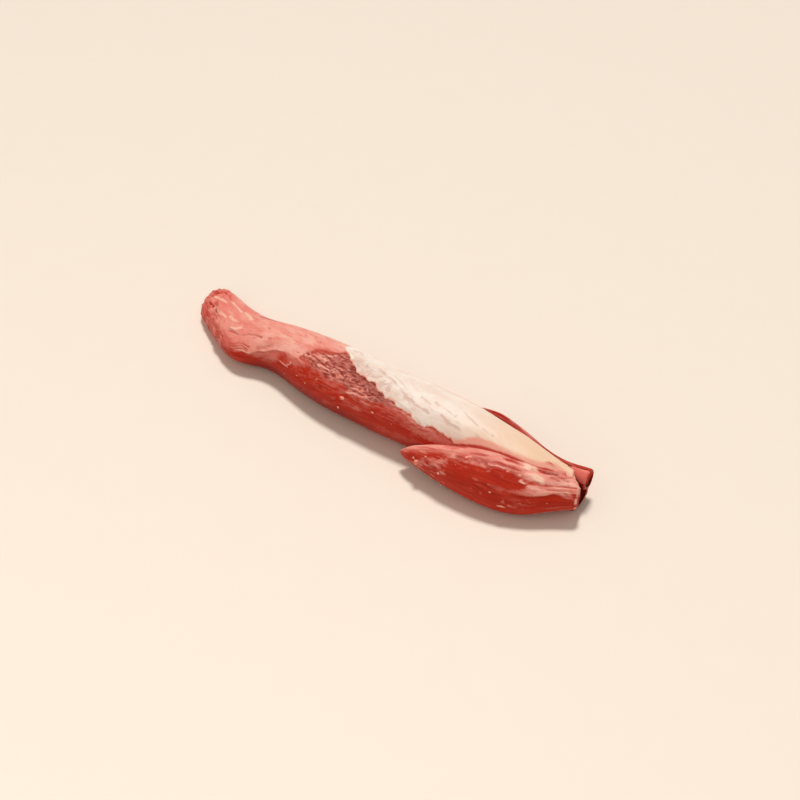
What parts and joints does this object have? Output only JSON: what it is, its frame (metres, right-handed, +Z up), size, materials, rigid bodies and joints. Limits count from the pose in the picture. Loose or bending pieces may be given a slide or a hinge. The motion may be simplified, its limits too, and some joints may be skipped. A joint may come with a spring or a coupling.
{
  "type": "raw beef tenderloin",
  "caption": "Whole trimmed raw beef tenderloin lying flat: a long tapering fillet with silverskin, a side muscle with a free pointed tip, and a narrow chain strip.",
  "frame": {"origin": "middle of the bounding box in plan, on the plane that the meat lies on", "axes": "+X along the cut from the thin tail to the thick butt, +Y towards the chain, +Z up"},
  "size_m": [0.537, 0.127, 0.0612],
  "materials": {
    "raw_beef": "moist raw beef, deep red with paler pink membrane and a soft wet sheen"
  },
  "bodies": {
    "root": {"tenderloin": "raw_beef"}
  },
  "joints": []
}
